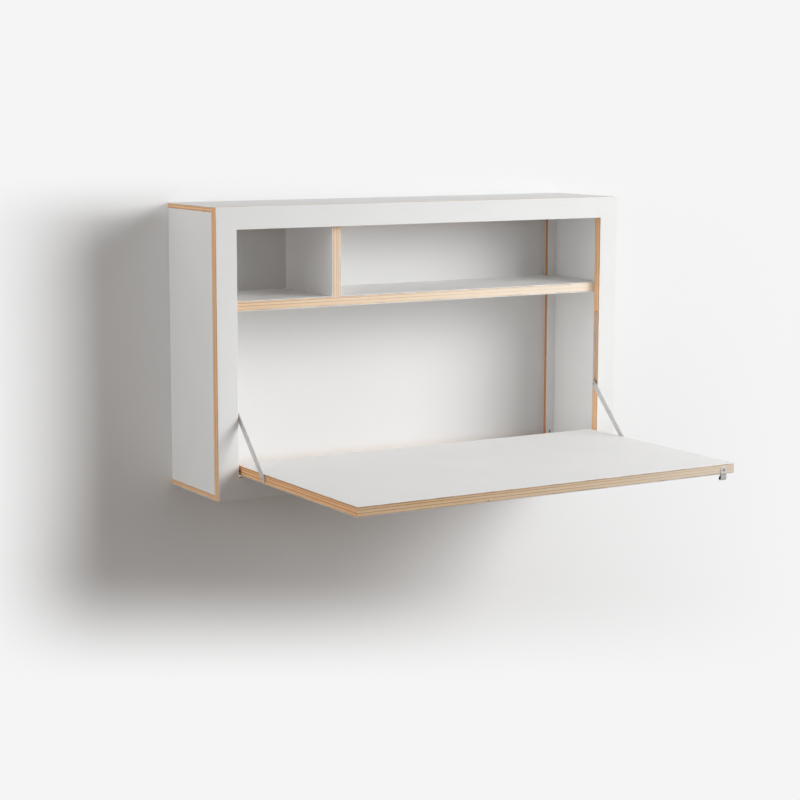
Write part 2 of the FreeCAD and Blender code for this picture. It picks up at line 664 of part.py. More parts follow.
nodes = {
    "front_frame": frontFrame,
    "left_side": leftSide,
    "right_side": rightSide,
    "top_panel": topPanel,
    "bottom_panel": bottomPanel,
    "back_frame": backFrame,
    "shelf": shelf,
    "divider": divider,
    "case_tongues": caseTongues,
    "front_tongues": frontTongues,
    "back_tongues": backTongues,
    "pivot_bushes": pivotBushes,
    "leaf": leaf,
    "pivot_pins": pivotPins,
    "stay_screws": stayScrews,
    "stay_washers": stayWashers,
    "finger_pull": fingerPull,
    "pull_screw": pullScrew,
    "left_stay": stayBody,
    "left_stay_stud": leftStud,
    "left_glide": leftGlide,
    "right_stay": rightStay,
    "right_stay_stud": rightStud,
    "right_glide": rightGlide,
}
for thing in doc.Objects:
    if "Invalid" in thing.State or "Error" in thing.State:
        raise RuntimeError(f"{thing.Label} did not build: {thing.State}")
os.makedirs("parts", exist_ok=True)
for name, thing in nodes.items():
    if thing.Shape.isNull() or not thing.Shape.isValid():
        raise RuntimeError(f"{name} has no valid shape")
    thing.Label = name
    thing.Shape.exportStep(f"parts/{name}.step")
    bounds = thing.Shape.BoundBox
    low = f"{bounds.XMin:.2f} {bounds.YMin:.2f} {bounds.ZMin:.2f}"
    high = f"{bounds.XMax:.2f} {bounds.YMax:.2f} {bounds.ZMax:.2f}"
    print(f"{name}: solids {len(thing.Shape.Solids)}, from {low} to {high}")
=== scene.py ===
import math

import bpy
import numpy as np
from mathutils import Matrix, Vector


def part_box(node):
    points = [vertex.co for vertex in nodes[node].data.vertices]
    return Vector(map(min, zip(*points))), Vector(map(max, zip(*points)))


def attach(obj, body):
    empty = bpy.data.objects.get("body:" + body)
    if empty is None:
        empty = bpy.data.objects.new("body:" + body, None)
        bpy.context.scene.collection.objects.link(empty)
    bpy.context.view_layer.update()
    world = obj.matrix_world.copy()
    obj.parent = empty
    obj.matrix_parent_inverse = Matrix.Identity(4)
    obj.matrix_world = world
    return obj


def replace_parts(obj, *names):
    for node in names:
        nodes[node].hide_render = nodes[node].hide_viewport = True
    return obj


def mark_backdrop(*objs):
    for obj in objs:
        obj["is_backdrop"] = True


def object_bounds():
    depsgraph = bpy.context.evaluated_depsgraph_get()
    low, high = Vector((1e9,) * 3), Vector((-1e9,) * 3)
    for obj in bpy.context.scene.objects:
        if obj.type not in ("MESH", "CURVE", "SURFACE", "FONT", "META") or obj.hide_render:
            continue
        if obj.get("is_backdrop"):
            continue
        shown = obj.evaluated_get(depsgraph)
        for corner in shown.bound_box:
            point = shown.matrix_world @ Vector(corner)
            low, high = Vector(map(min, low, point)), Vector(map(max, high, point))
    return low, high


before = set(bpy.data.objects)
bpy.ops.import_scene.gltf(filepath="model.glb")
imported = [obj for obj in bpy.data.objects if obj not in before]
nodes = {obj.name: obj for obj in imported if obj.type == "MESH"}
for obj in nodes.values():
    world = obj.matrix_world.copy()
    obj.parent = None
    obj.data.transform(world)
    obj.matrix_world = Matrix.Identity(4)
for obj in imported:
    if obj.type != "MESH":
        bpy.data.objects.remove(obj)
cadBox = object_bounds()
mm = 0.001
perMm = (1 / mm, 1 / mm, 1 / mm)
print("desk frame loaded:", len(nodes), "nodes")


# Small helpers for shader trees

def grow(tree, kind, inputs=None, **settings):
    made = tree.nodes.new("ShaderNode" + kind)
    for key, value in settings.items():
        setattr(made, key, value)
    for key, value in (inputs or {}).items():
        if isinstance(value, bpy.types.NodeSocket):
            tree.links.new(value, made.inputs[key])
        else:
            made.inputs[key].default_value = value
    return made


def calc(tree, operation, first, second=0.0, third=0.0):
    made = grow(tree, "Math", {0: first, 1: second, 2: third}, operation=operation)
    return made.outputs[0]


def mixColor(tree, factor, first, second, kind="MIX"):
    made = grow(tree, "Mix", {0: factor, 6: first, 7: second}, data_type="RGBA", blend_type=kind)
    return made.outputs[2]


def mixValue(tree, factor, first, second):
    return grow(tree, "Mix", {0: factor, 2: first, 3: second}, data_type="FLOAT").outputs[0]


def fade(tree, value, low, high, toLow=0.0, toHigh=1.0):  # smooth step from low to high
    made = grow(
        tree, "MapRange",
        {"Value": value, "From Min": low, "From Max": high, "To Min": toLow, "To Max": toHigh},
        interpolation_type="SMOOTHSTEP",
    )
    return made.outputs[0]


def stretched(tree, vector, scale):  # the pattern's place, scaled by its own amount along each axis
    return grow(tree, "VectorMath", {0: vector, 1: scale}, operation="MULTIPLY").outputs[0]


def scaled(tree, vector, amount):
    return stretched(tree, vector, (amount, amount, amount))


def noise(tree, vector, detail=2.0, rough=0.5):
    made = grow(tree, "TexNoise", {"Vector": vector, "Scale": 1.0, "Detail": detail, "Roughness": rough})
    return made.outputs[0]


def blended(tree, first, second, share):  # two patterns in one, the first with this share
    rest = calc(tree, "MULTIPLY", second, 1 - share)
    return calc(tree, "MULTIPLY_ADD", first, share, rest)


def newGroup(name, inputs, outputs):
    tree = bpy.data.node_groups.new(name, "ShaderNodeTree")
    for label, kind in inputs:
        tree.interface.new_socket(label, in_out="INPUT", socket_type="NodeSocket" + kind)
    for label, kind in outputs:
        tree.interface.new_socket(label, in_out="OUTPUT", socket_type="NodeSocket" + kind)
    return tree, tree.nodes.new("NodeGroupInput").outputs, tree.nodes.new("NodeGroupOutput").inputs


def useGroup(tree, group, values):
    made = tree.nodes.new("ShaderNodeGroup")
    made.node_tree = group
    for key, value in values.items():
        if isinstance(value, bpy.types.NodeSocket):
            tree.links.new(value, made.inputs[key])
        else:
            made.inputs[key].default_value = value
    return made.outputs


def newMaterial(name):
    made = bpy.data.materials.new(name)
    made.use_nodes = True
    tree = made.node_tree
    return made, tree, tree.nodes["Principled BSDF"]


def finish(tree, shader, color, rough, height, distance):  # colour, roughness and bump into the shader
    tree.links.new(color, shader.inputs["Base Color"])
    tree.links.new(rough, shader.inputs["Roughness"])
    bump = grow(tree, "Bump", {"Height": height, "Distance": distance, "Strength": 1.0})
    tree.links.new(bump.outputs[0], shader.inputs["Normal"])


# Cut plywood edge: veneers in turn along and across the grain, glue lines, knots,
# and the laminate's own edge
ply = {
    "skin": 1.2,               # laminate, mm
    "seam": 1.0,               # dark line under the laminate, mm
    "seamFull": 0.7,           # share of it that is fully dark
    "seamBroken": {"low": 0.38, "high": 0.58, "toLow": 0.3, "toHigh": 0.95},  # it comes and goes
    "long": (0.97, 0.77, 0.54, 1),
    "longDeep": (0.91, 0.67, 0.43, 1),
    "end": (0.94, 0.70, 0.46, 1),
    "endDeep": (0.78, 0.50, 0.29, 1),
    "heartAndShade": (0.54, 0.27, 0.13, 1),    # a few veneers are of dark heartwood; the same colour is painted shade over the back frame's cut edges
    "sapAndLit": (0.98, 0.90, 0.78, 1),      # paler sapwood on some boards; the same colour paints the right ends of the leaf and shelf lighter as painted light, and makes the front frame's top edge paler
    "endTint": (1.03, 0.86, 0.72, 1),  # the boards' ends are a warmer tone than their long edges
    "glue": (0.40, 0.20, 0.10, 1),
    "seamColor": (0.25, 0.12, 0.06, 1),
    "knot": (0.17, 0.085, 0.045, 1),
    "skinColor": (0.95, 0.93, 0.90, 1),
    # Patterns per mm, twice along the board and once across it
    "wander": (0.018, 0.018, 0.02),
    "wave": (0.012, 0.012, 0.2),
    "fibre": (0.10, 0.10, 5.0),
    "pore": (2.2, 2.2, 1.1),
    "slant": (0.45, 0.45, 0.30),
    "knots": (0.020, 0.020, 0.045),
    "patch": (0.022, 0.022, 0.12),
    # Change and least value of lightness, strength of colour, glue and roughness
    "fibreLight": (0.20, 0.90),
    "waveColor": (0.4, 0.84),
    "gluePatchy": (0.6, 0.2),
    "poreRough": (0.22, 0.46),
    "skinRough": 0.4,             # roughness of the laminate's edge
    "waveShare": 0.55,            # waves in the long grain, the rest is fibres
    "poreShare": 0.4,             # pores in the end grain, the rest is slanted streaks
    "longFrom": (0.36, 0.64),     # where in the pattern the deep colour comes in
    "endFrom": (0.40, 0.60),
    "uneven": 0.030,              # how far a veneer wanders, as a share of the core
    "seedStep": 17.3,             # moves the pattern from board to board
    "jump": (31.7, 9.1),          # and from veneer to veneer, mm along and across
    "spread": 0.618,              # golden share, so that neighbouring veneers differ
    "crossShare": 0.85,           # how clearly end grain and long grain differ
    "heartFrom": (0.76, 0.82),    # chance at which a veneer turns to heartwood
    "heartDepth": 0.9,
    "glueLine": (0.40, 0.49),     # place of the glue in a veneer, from its middle
    "knotFrom": 0.62,             # chance from which a spot is a knot
    "knotRadius": (0.03, 0.06),
    "dent": 0.05,                 # depth of pores, glue lines and knots, mm
    "fibreRise": 0.04,            # height of fibres and of the laminate's edge, mm
    "skinRise": 0.03,
}


def plyEdgeGroup():
    inputs = [
        ("Place", "Vector"), ("Thick", "Float"), ("Plies", "Float"), ("Seed", "Float"),
        ("End", "Float"), ("Pale", "Float"), ("Dark", "Float"),
    ]
    outputs = [("Color", "Color"), ("Rough", "Float"), ("Height", "Float")]
    tree, given, result = newGroup("plyEdge", inputs, outputs)
    place = given["Place"]
    across = grow(tree, "SeparateXYZ", {0: place}).outputs[2]
    fromFace = calc(tree, "MINIMUM", across, calc(tree, "SUBTRACT", given["Thick"], across))
    skin = calc(tree, "LESS_THAN", fromFace, ply["skin"])
    seamSolid = ply["skin"] + ply["seamFull"] * ply["seam"]
    seam = fade(tree, fromFace, seamSolid, ply["skin"] + ply["seam"], 1.0, 0.0)
    # Which veneer a point lies in, and where in it
    coreThick = calc(tree, "SUBTRACT", given["Thick"], 2 * ply["skin"])
    share = calc(tree, "DIVIDE", calc(tree, "SUBTRACT", across, ply["skin"]), coreThick)
    wander = noise(tree, stretched(tree, place, ply["wander"]), 2.0)  # veneers aren't quite even
    evened = calc(tree, "MULTIPLY_ADD", calc(tree, "SUBTRACT", wander, 0.5), ply["uneven"], share)
    layers = calc(tree, "MULTIPLY", evened, given["Plies"])
    number = calc(tree, "FLOOR", layers)
    part = calc(tree, "FRACT", layers)
    tag = calc(tree, "MULTIPLY_ADD", given["Seed"], ply["seedStep"], number)
    chance = calc(tree, "FRACT", calc(tree, "MULTIPLY_ADD", number, ply["spread"], given["Seed"]))
    along, aside = (calc(tree, "MULTIPLY", tag, amount) for amount in ply["jump"])
    shift = grow(tree, "CombineXYZ", {0: along, 2: aside})
    moved = grow(tree, "VectorMath", {0: place, 1: shift.outputs[0]}, operation="ADD").outputs[0]
    # Grain of the two kinds of veneer
    wave = noise(tree, stretched(tree, moved, ply["wave"]), 3.0)
    fibre = noise(tree, stretched(tree, moved, ply["fibre"]), 3.0, 0.6)
    pore = noise(tree, stretched(tree, moved, ply["pore"]), 2.0, 0.6)
    slant = noise(tree, stretched(tree, moved, ply["slant"]), 3.0, 0.55)
    longMix = blended(tree, wave, fibre, ply["waveShare"])
    longColor = mixColor(tree, fade(tree, longMix, *ply["longFrom"]), ply["long"], ply["longDeep"])
    endMix = blended(tree, pore, slant, ply["poreShare"])
    endColor = mixColor(tree, fade(tree, endMix, *ply["endFrom"]), ply["end"], ply["endDeep"])
    odd = calc(tree, "ABSOLUTE", calc(tree, "MODULO", number, 2.0))
    crossed = calc(tree, "ABSOLUTE", calc(tree, "SUBTRACT", odd, given["End"]))
    veneer = mixColor(tree, calc(tree, "MULTIPLY", crossed, ply["crossShare"]), longColor, endColor)
    paled = mixColor(tree, given["Pale"], veneer, ply["sapAndLit"])
    depth = ply["heartDepth"]
    deepest = calc(tree, "MULTIPLY_ADD", given["Pale"], -depth, depth)  # where Pale is high (sapwood, and the right ends painted lighter as painted light) there is little heartwood
    picked = calc(tree, "MULTIPLY", fade(tree, chance, *ply["heartFrom"]), deepest)
    # Dark lays painted shade in the heartwood colour over a board's cut edges (the back frame)
    heartAndShadeShare = calc(tree, "MAXIMUM", picked, given["Dark"])
    mixed = mixColor(tree, heartAndShadeShare, paled, ply["heartAndShade"])
    warm = mixColor(tree, given["End"], mixed, ply["endTint"], "MULTIPLY")
    tint = grow(tree, "HueSaturation", {
        "Color": warm,
        "Value": calc(tree, "MULTIPLY_ADD", fibre, *ply["fibreLight"]),
        "Saturation": calc(tree, "MULTIPLY_ADD", wave, *ply["waveColor"]),
    }).outputs[0]
    # Glue lines, knots and the line under the laminate
    edge = calc(tree, "ABSOLUTE", calc(tree, "SUBTRACT", part, 0.5))
    patchy = calc(tree, "MULTIPLY_ADD", slant, *ply["gluePatchy"])
    glue = calc(tree, "MULTIPLY", fade(tree, edge, *ply["glueLine"]), patchy)
    glued = mixColor(tree, glue, tint, ply["glue"])
    spots = grow(tree, "TexVoronoi", {
        "Vector": stretched(tree, moved, ply["knots"]), "Scale": 1.0, "Randomness": 1.0,
    }, feature="F1")
    lot = grow(tree, "SeparateXYZ", {0: spots.outputs["Color"]}).outputs[0]
    rare = calc(tree, "GREATER_THAN", lot, ply["knotFrom"])
    middle = fade(tree, spots.outputs["Distance"], *ply["knotRadius"], 1.0, 0.0)
    knot = calc(tree, "MULTIPLY", middle, rare)
    core = mixColor(tree, knot, glued, ply["knot"])
    patch = noise(tree, stretched(tree, place, ply["patch"]), 2.0)
    broken = calc(tree, "MULTIPLY", seam, fade(tree, patch, **ply["seamBroken"]))
    lined = mixColor(tree, broken, core, ply["seamColor"])
    tree.links.new(mixColor(tree, skin, lined, ply["skinColor"]), result["Color"])
    rough = calc(tree, "MULTIPLY_ADD", pore, *ply["poreRough"])
    tree.links.new(mixValue(tree, skin, rough, ply["skinRough"]), result["Rough"])
    pores = calc(tree, "MULTIPLY", pore, ply["dent"])
    dents = calc(tree, "MULTIPLY_ADD", calc(tree, "ADD", glue, knot), -ply["dent"], pores)
    grain = calc(tree, "MULTIPLY_ADD", fibre, ply["fibreRise"], dents)
    tree.links.new(mixValue(tree, skin, grain, ply["skinRise"]), result["Height"])
    return tree


# White matt laminate: a faint cloud, a fine speckle and an orange peel
laminate = {
    "white": (0.885, 0.882, 0.874, 1),
    "cloud": (0.862, 0.860, 0.853, 1),
    "rough": 0.62,
    "shine": 0.20,
    "seedStep": 213.7,    # moves the pattern from board to board, mm
    "cloudScale": 0.008,  # patterns per mm
    "speckleScale": 1.4,
    "peelScale": 0.55,
    "handScale": 0.03,
    "handRough": 0.14,    # touched places differ this much in roughness
    "speckleShare": 0.5,  # speckle in the tone, the rest is cloud
    "speckleRise": 0.3,   # height of the speckle beside the peel's
    "toneFrom": (0.36, 0.64),  # where in the pattern the cloud's colour comes in
    "peelDepth": 0.012,   # mm
}


def laminateGroup():
    inputs = [("Place", "Vector"), ("Seed", "Float")]
    outputs = [("Color", "Color"), ("Rough", "Float"), ("Height", "Float")]
    tree, given, result = newGroup("laminateFace", inputs, outputs)
    start = calc(tree, "MULTIPLY", given["Seed"], laminate["seedStep"])
    shift = grow(tree, "CombineXYZ", {0: start}).outputs[0]
    moved = grow(tree, "VectorMath", {0: given["Place"], 1: shift}, operation="ADD").outputs[0]
    cloud = noise(tree, scaled(tree, moved, laminate["cloudScale"]), 3.0)
    speckle = noise(tree, scaled(tree, moved, laminate["speckleScale"]), 1.0)
    peel = noise(tree, scaled(tree, moved, laminate["peelScale"]), 2.0)
    hands = noise(tree, scaled(tree, moved, laminate["handScale"]), 4.0, 0.6)
    tone = fade(tree, blended(tree, speckle, cloud, laminate["speckleShare"]), *laminate["toneFrom"])
    tree.links.new(mixColor(tree, tone, laminate["white"], laminate["cloud"]), result["Color"])
    lowest = laminate["rough"] - laminate["handRough"] / 2
    gloss = calc(tree, "MULTIPLY_ADD", hands, laminate["handRough"], lowest)
    tree.links.new(gloss, result["Rough"])
    tree.links.new(calc(tree, "MULTIPLY_ADD", speckle, laminate["speckleRise"], peel), result["Height"])
    return tree


# Drawn steel: fine lines along the bar, a slow change of tone and small rubbed spots
steel = {
    "seedStep": 57.1,           # moves the pattern from piece to piece, mm
    "lines": (0.05, 5.0, 5.0),  # patterns per mm along the bar and across it
    "slow": (0.05, 0.08, 0.08),
    "spotScale": 0.9,
    "rough": 0.34, "lineRough": 0.20, "spotRough": 0.12,
    "lineShare": 0.55,          # fine lines in the tone, the rest is the slow change
    "toneFrom": (0.34, 0.66),   # where in the pattern the deep colour comes in
    "spotFrom": (0.55, 0.72),   # and where a rubbed spot does
    "lineDepth": 0.006,         # mm
}


def steelGroup():
    inputs = [("Place", "Vector"), ("Color", "Color"), ("Deep", "Color"), ("Seed", "Float")]
    outputs = [("Color", "Color"), ("Rough", "Float"), ("Height", "Float")]
    tree, given, result = newGroup("drawnSteel", inputs, outputs)
    start = calc(tree, "MULTIPLY", given["Seed"], steel["seedStep"])
    shift = grow(tree, "CombineXYZ", {1: start}).outputs[0]
    moved = grow(tree, "VectorMath", {0: given["Place"], 1: shift}, operation="ADD").outputs[0]
    lines = noise(tree, stretched(tree, moved, steel["lines"]), 3.0, 0.65)
    slow = noise(tree, stretched(tree, moved, steel["slow"]), 3.0)
    spots = noise(tree, scaled(tree, moved, steel["spotScale"]), 3.0, 0.6)
    tone = fade(tree, blended(tree, lines, slow, steel["lineShare"]), *steel["toneFrom"])
    tree.links.new(mixColor(tree, tone, given["Color"], given["Deep"]), result["Color"])
    rubbed = calc(tree, "MULTIPLY", fade(tree, spots, *steel["spotFrom"]), steel["spotRough"])
    lined = calc(tree, "MULTIPLY_ADD", lines, steel["lineRough"], steel["rough"])
    tree.links.new(calc(tree, "ADD", lined, rubbed), result["Rough"])
    tree.links.new(lines, result["Height"])
    return tree


plyEdge = plyEdgeGroup()
laminateFace = laminateGroup()
drawnSteel = steelGroup()
print("shader groups built")


# Boards: laminate where the surface lies across the board's thickness, plywood where it is cut
boards = {
    "front_frame": {"axis": 1, "plies": 15, "seed": 0.30, "pale": 0.10, "top": 0.7},
    "leaf": {"axis": 2, "plies": 15, "seed": 0.78, "pale": 0.30, "paler": 0.50},
    "shelf": {"axis": 2, "plies": 15, "seed": 0.55, "pale": 0.50, "paler": 0.40},
    "divider": {"axis": 0, "plies": 15, "seed": 0.64, "pale": 0.35},
    "left_side": {"axis": 0, "plies": 9, "seed": 0.12, "pale": 0.1},
    "right_side": {"axis": 0, "plies": 9, "seed": 0.91, "pale": 0.0},
    "top_panel": {"axis": 2, "plies": 9, "seed": 0.23, "pale": 0.25},
    "bottom_panel": {"axis": 2, "plies": 9, "seed": 0.47, "pale": 0.25},
    "back_frame": {"axis": 1, "plies": 9, "seed": 0.85, "pale": 0.0, "dark": 0.75},
}  # pale: sapwood; paler: painted light, lighter towards the right end; top: the highest upward-facing edge made paler; dark: painted shade, heartwood colour over the back frame's cut edges
squarely = {"laminate": 0.85, "end": 0.7, "top": 0.7}  # how far a face has to look that way to count
turned = {0: (1, 2, 0), 1: (0, 2, 1), 2: (0, 1, 2)}  # which axes run along, along and across the board


def boardMaterial(name, board):
    made, tree, shader = newMaterial("plywood_" + name)
    low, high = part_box(name)
    axis = board["axis"]
    coords = grow(tree, "TexCoord")
    place = grow(tree, "SeparateXYZ", {0: coords.outputs["Object"]}).outputs
    facing = grow(tree, "SeparateXYZ", {0: coords.outputs["Normal"]}).outputs
    first, second, across = turned[axis]
    depth = calc(tree, "MULTIPLY_ADD", place[across], 1 / mm, -low[axis] / mm)
    runA = calc(tree, "MULTIPLY", place[first], 1 / mm)
    runB = calc(tree, "MULTIPLY", place[second], 1 / mm)
    onBoard = grow(tree, "CombineXYZ", {0: runA, 1: runB, 2: depth}).outputs[0]
    face = calc(tree, "GREATER_THAN", calc(tree, "ABSOLUTE", facing[across]), squarely["laminate"])
    sideways = calc(tree, "GREATER_THAN", calc(tree, "ABSOLUTE", facing[0]), squarely["end"])
    thick = (high[axis] - low[axis]) / mm
    # Pale share: sapwood, plus painted light that grows towards the right end (paler), plus a paler
    # highest upward-facing edge (top)
    highest = calc(tree, "GREATER_THAN", place[2], high[2] - mm)
    upward = calc(tree, "GREATER_THAN", facing[2], squarely["top"])
    onTop = calc(tree, "MULTIPLY", calc(tree, "MULTIPLY", upward, board.get("top", 0.0)), highest)
    pale = calc(tree, "MULTIPLY_ADD", place[0], board.get("paler", 0.0) / cadBox[1][0], board["pale"])
    sapwoodAndPaintedLight = calc(tree, "MAXIMUM", calc(tree, "ADD", pale, onTop), 0.0)
    cutEdge = useGroup(tree, plyEdge, {
        "Place": onBoard, "Thick": thick, "Plies": board["plies"], "Seed": board["seed"],
        "End": sideways, "Pale": sapwoodAndPaintedLight, "Dark": board.get("dark", 0.0),
    })
    white = useGroup(tree, laminateFace, {"Place": onBoard, "Seed": board["seed"]})
    color = mixColor(tree, face, cutEdge["Color"], white["Color"])
    rough = mixValue(tree, face, cutEdge["Rough"], white["Rough"])
    peel = calc(tree, "MULTIPLY", white["Height"], laminate["peelDepth"])
    height = mixValue(tree, face, cutEdge["Height"], peel)
    shader.inputs["Specular IOR Level"].default_value = laminate["shine"]
    finish(tree, shader, color, rough, height, mm)
    return made


def dress(name, material):
    nodes[name].data.materials.clear()
    nodes[name].data.materials.append(material)


for name, board in boards.items():
    dress(name, boardMaterial(name, board))
print("boards finished:", len(boards))


# Metal, nylon and beech
metals = {  # turn: the way the drawn lines run, degrees from level
    "stay": {
        "color": (0.76, 0.76, 0.755, 1), "deep": (0.66, 0.66, 0.66, 1),
        "turn": 45.0, "metallic": 0.85, "seed": 1.0,
    },
    "screw": {
        "color": (0.70, 0.70, 0.70, 1), "deep": (0.56, 0.56, 0.57, 1),
        "turn": 0.0, "metallic": 1.0, "seed": 2.0,
    },
    "pull": {
        "color": (0.90, 0.895, 0.885, 1), "deep": (0.80, 0.80, 0.79, 1),
        "turn": 90.0, "metallic": 0.55, "seed": 3.0,
    },
    # painted shade: black steel for the pivot pins in their gap and the screw sockets' hollows
    "paintedShade": {
        "color": (0.06, 0.06, 0.06, 1), "deep": (0.035, 0.035, 0.036, 1),
        "turn": 0.0, "metallic": 0.3, "seed": 4.0,
    },
}
pull = {
    # painted shade on the pull: black inside the roll (scale), a dark line at the bend, a greyer roll
    # below the leaf
    "scale": (0.035, 0.034, 0.033, 1), "bend": (0.22, 0.21, 0.20, 1), "roll": (0.60, 0.60, 0.595, 1),
    "rollShare": 0.8,
    "coreUp": 6.5 * mm,                  # middle of the roll, above the pull's lowest point
    "bendWidth": (0.3 * mm, 1.0 * mm),   # the painted dark line at the bend fades out between these
    "insideFrom": (0.1 * mm, 0.4 * mm),  # and the painted black shade inside the roll comes in between these
}


def steelMaterial(name, shade=None):
    metal = metals[name]
    made, tree, shader = newMaterial("steel_" + name)
    coords = grow(tree, "TexCoord").outputs["Object"]
    turnedTo = grow(tree, "Mapping", {
        "Vector": coords,
        "Rotation": (math.radians(-metal["turn"]), 0, math.radians(-90)),
        "Scale": perMm,
    }, vector_type="POINT").outputs[0]
    drawn = useGroup(tree, drawnSteel, {
        "Place": turnedTo, "Color": metal["color"], "Deep": metal["deep"], "Seed": metal["seed"],
    })
    shader.inputs["Metallic"].default_value = metal["metallic"]
    color = shade(tree, drawn["Color"]) if shade else drawn["Color"]
    lineHeight = calc(tree, "MULTIPLY", drawn["Height"], steel["lineDepth"])
    finish(tree, shader, color, drawn["Rough"], lineHeight, mm)
    return made


def rollShade(tree, bright):
    # Painted shade: below the leaf the pull is painted greyer, its bend there gets a painted dark line,
    # and faces that look towards the roll's middle are painted black
    low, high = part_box("finger_pull")
    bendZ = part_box("leaf")[0].z
    coords = grow(tree, "TexCoord").outputs
    middle = (0.0, (low.y + high.y) / 2, low.z + pull["coreUp"])
    inward = grow(tree, "VectorMath", {0: middle, 1: coords["Object"]}, operation="SUBTRACT").outputs[0]
    level = grow(tree, "VectorMath", {0: inward, 1: (0, 1, 1)}, operation="MULTIPLY").outputs[0]
    towards = grow(tree, "VectorMath", {0: level, 1: coords["Normal"]}, operation="DOT_PRODUCT")
    inside = fade(tree, towards.outputs["Value"], *pull["insideFrom"])
    above = calc(tree, "SUBTRACT", grow(tree, "SeparateXYZ", {0: coords["Object"]}).outputs[2], bendZ)
    roll = fade(tree, above, -1.0 * mm, 0.0, 1.0, 0.0)
    bend = fade(tree, calc(tree, "ABSOLUTE", above), *pull["bendWidth"], 1.0, 0.0)
    greyed = mixColor(tree, calc(tree, "MULTIPLY", roll, pull["rollShare"]), bright, pull["roll"])
    return mixColor(tree, inside, mixColor(tree, bend, greyed, pull["bend"]), pull["scale"])


staySteel = steelMaterial("stay")
screwSteel = steelMaterial("screw")
pullSteel = steelMaterial("pull", rollShade)
paintedShadeSteel = steelMaterial("paintedShade")
for name in ("left_stay", "right_stay"):
    dress(name, staySteel)
dress("stay_washers", screwSteel)
# painted shade: the pivot pins are black where they sit in the shaded gap
dress("pivot_pins", paintedShadeSteel)
dress("finger_pull", pullSteel)

nylon = {
    "color": (0.115, 0.115, 0.12, 1), "worn": (0.16, 0.16, 0.165, 1),
    "grainScale": 3.0, "wornScale": 0.25,  # patterns per mm
    "wornFrom": (0.4, 0.65),
    "rough": 0.42, "grainRough": 0.2, "grainDepth": 0.02,
}


def nylonMaterial():
    made, tree, shader = newMaterial("moulded_nylon")
    place = stretched(tree, grow(tree, "TexCoord").outputs["Object"], perMm)
    grain = noise(tree, scaled(tree, place, nylon["grainScale"]), 2.0)
    rubbed = noise(tree, scaled(tree, place, nylon["wornScale"]), 3.0)
    color = mixColor(tree, fade(tree, rubbed, *nylon["wornFrom"]), nylon["color"], nylon["worn"])
    rough = calc(tree, "MULTIPLY_ADD", grain, nylon["grainRough"], nylon["rough"])
    finish(tree, shader, color, rough, calc(tree, "MULTIPLY", grain, nylon["grainDepth"]), mm)
    return made


beech = {
    "light": (0.72, 0.50, 0.31, 1), "dark": (0.58, 0.37, 0.21, 1),
    "ringScale": 0.25, "fleckScale": 1.5,  # patterns per mm
    "fleckShare": 0.4, "toneFrom": (0.38, 0.62),
    "rough": 0.5, "fleckRough": 0.2, "fleckDepth": 0.03,
}


def beechMaterial():
    made, tree, shader = newMaterial("beech_tongue")
    place = stretched(tree, grow(tree, "TexCoord").outputs["Object"], perMm)
    rings = noise(tree, scaled(tree, place, beech["ringScale"]), 4.0, 0.6)
    flecks = noise(tree, scaled(tree, place, beech["fleckScale"]), 2.0)
    tone = fade(tree, blended(tree, flecks, rings, beech["fleckShare"]), *beech["toneFrom"])
    color = mixColor(tree, tone, beech["light"], beech["dark"])
    rough = calc(tree, "MULTIPLY_ADD", flecks, beech["fleckRough"], beech["rough"])
    finish(tree, shader, color, rough, calc(tree, "MULTIPLY", flecks, beech["fleckDepth"]), mm)
    return made


darkNylon = nylonMaterial()
for name in ("pivot_bushes", "left_glide", "right_glide"):
    dress(name, darkNylon)
tongueBeech = beechMaterial()
for name in ("case_tongues", "front_tongues", "back_tongues"):
    dress(name, tongueBeech)
print("metal, nylon and beech finished")


# Screws and studs, turned about their own axis. Over the head the height is
# h(r, a) = rim + rise (1 - (r / R)^2) - deep S(r, w (1 + lobe cos 6a)),
# with S a smooth step at the socket's wall; down the shank the radius is
# r(h, a) = shank - crest T(h / pitch - a / 2 pi), with T a triangle wave from 0 to 1
turning = {
    "turns": 72, "headRings": 40, "rowsPerPitch": 6, "pitch": 1.6 * mm,
    "socket": 1.45 * mm, "lobes": 6, "lobe": 0.13, "deep": 0.55 * mm, "wall": 0.12 * mm,
    "pole": 0.02,             # innermost ring, as a share of the head
    "tip": 0.05,              # blunt tip, as a share of the shank
    "sunkFrom": 0.05,         # painted shade: the socket is black from this share of its depth on
    "bite": 20 * mm,          # length of a stay screw in the leaf
    "stayThick": 2.4 * mm,
    "sharp": 40,              # edges from this angle on stay sharp, degrees
}
stayScrew = {
    "head": 3.8 * mm, "rim": 0.50 * mm, "rise": 0.35 * mm, "cone": 0.0,
    "shank": 2.0 * mm, "plain": 4.0 * mm, "crest": 0.34 * mm, "point": 3.5 * mm,
}
pullScrew = {
    "head": 3.2 * mm, "rim": 0.0, "rise": 0.0, "cone": 1.2 * mm,
    "shank": 2.0 * mm, "plain": 3.0 * mm, "crest": 0.34 * mm, "point": 3.5 * mm,
}
stayStud = {
    "head": 3.8 * mm, "rim": 0.50 * mm, "rise": 0.35 * mm, "cone": 0.0,
    "shank": 2.0 * mm, "plain": 0.0, "crest": 0.0, "point": 0.0,
}


